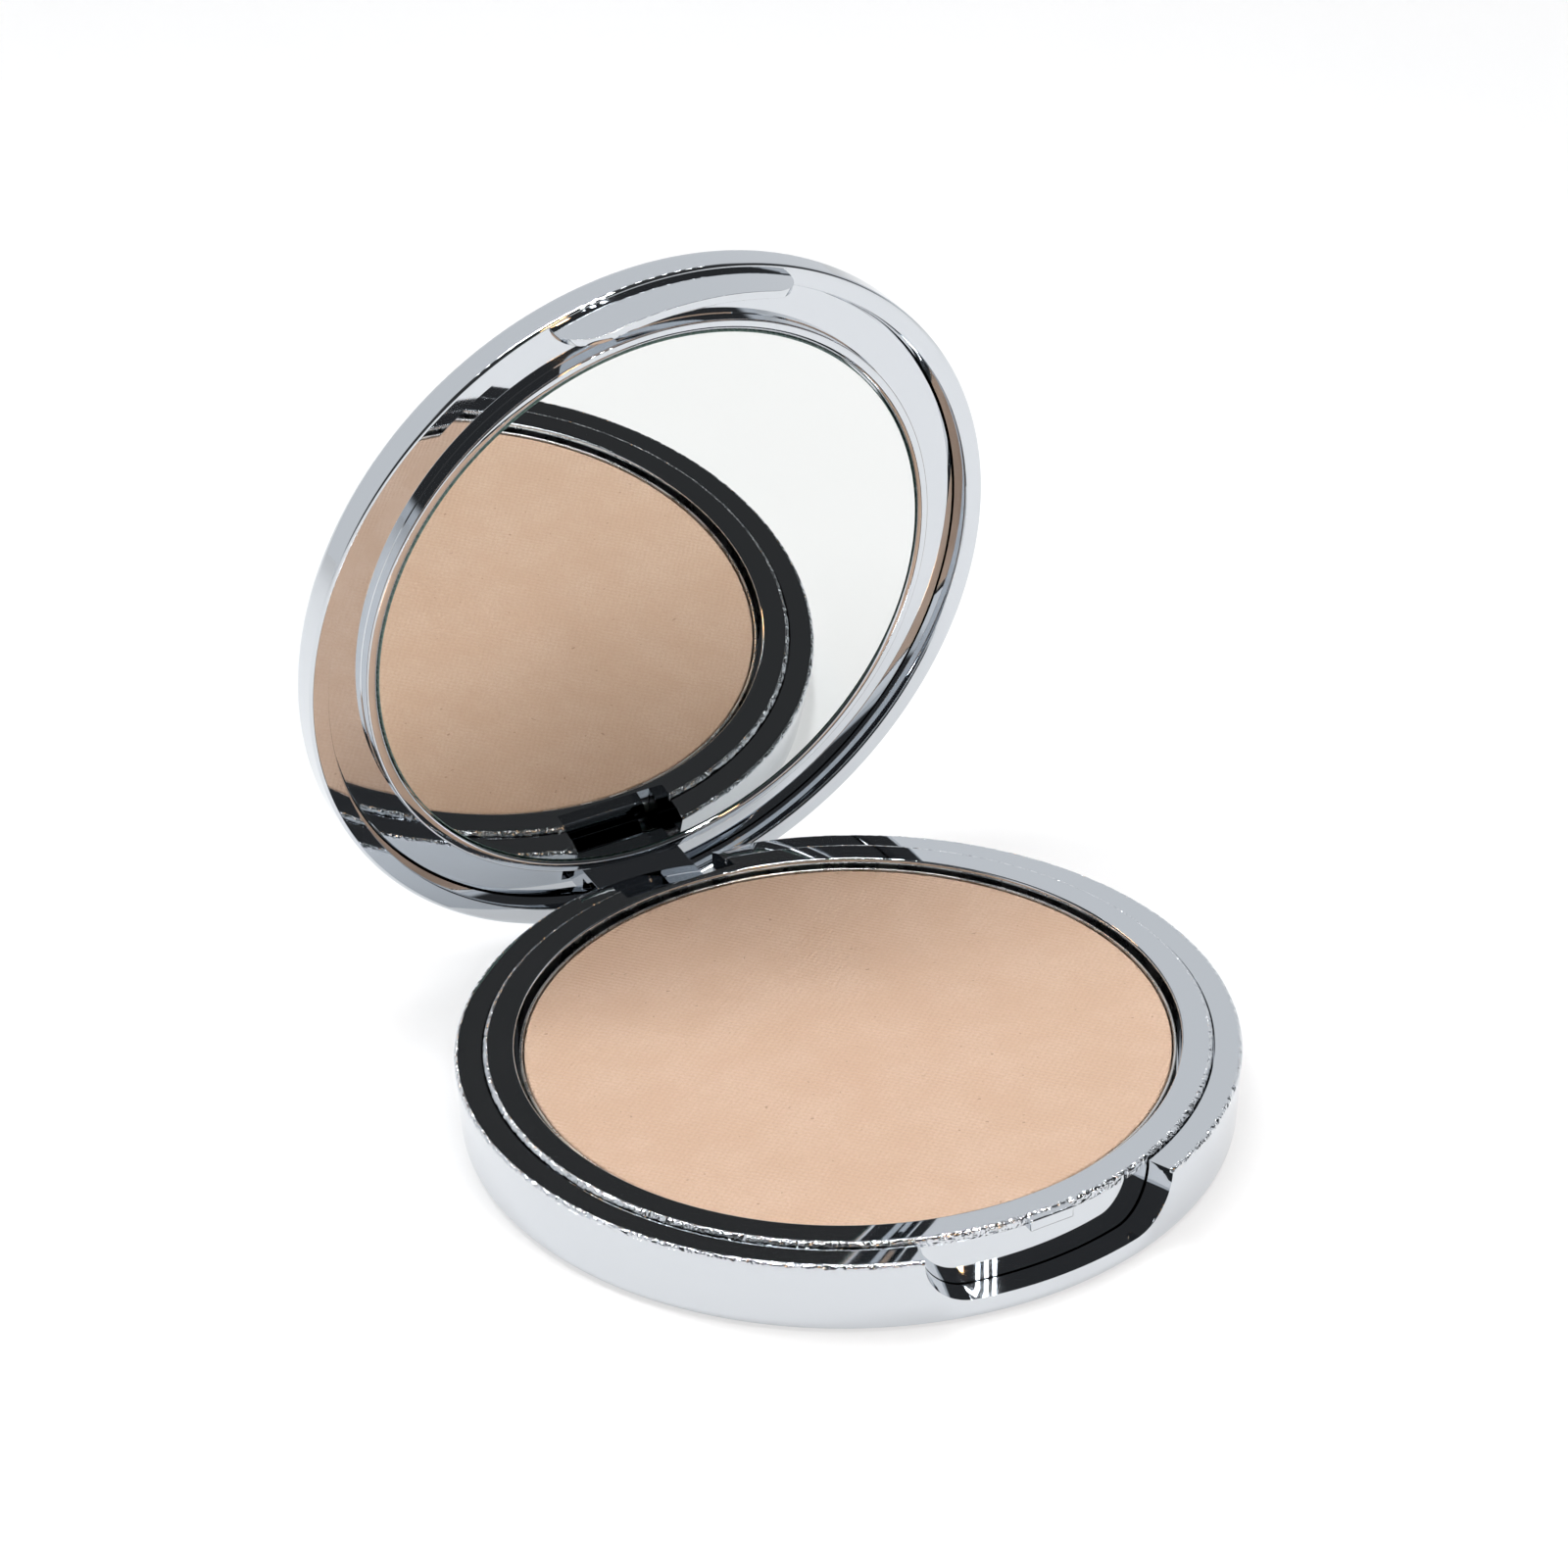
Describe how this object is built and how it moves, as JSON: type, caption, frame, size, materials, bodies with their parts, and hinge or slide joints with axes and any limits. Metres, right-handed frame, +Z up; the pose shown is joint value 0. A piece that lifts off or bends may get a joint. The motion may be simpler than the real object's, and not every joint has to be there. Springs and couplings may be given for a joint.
{
  "type": "powder compact",
  "caption": "Round chrome-plated pressed-powder compact, open, with a hinged mirror lid, raised inner deck, thumb notch and beige powder in a metal pan.",
  "frame": {"origin": "centre of the base's underside, on the surface it stands on", "axes": "+Z up, -Y towards the thumb notch at the front, +Y towards the hinge at the back, hinge axis along X"},
  "size_m": [0.072, 0.0779, 0.0723],
  "materials": {
    "chrome": "bright chrome plating on moulded plastic",
    "pan": "plain pressed aluminium",
    "powder": "matte pressed powder with a fine cloth imprint",
    "pin": "drawn steel",
    "mirror": "clear silvered glass",
    "tape": "white foam tape",
    "glue": "dried clear glue",
    "label": "blank satin paper"
  },
  "bodies": {
    "base": {"base_shell": "chrome", "base_deck": "chrome", "base_label": "label", "pan_glue": "glue", "powder_pan": "pan", "powder_cake": "powder", "hinge_pin": "pin"},
    "lid": {"lid_cover": "chrome", "lid_frame": "chrome", "lid_mirror": "mirror", "mirror_tape": "tape"}
  },
  "joints": [
    {"name": "lid_hinge", "type": "hinge", "parent": "base", "child": "lid", "pos_m": [0, 0.0335, 0.00245], "axis": [1, 0, 0], "range_deg": [0, 82]}
  ]
}
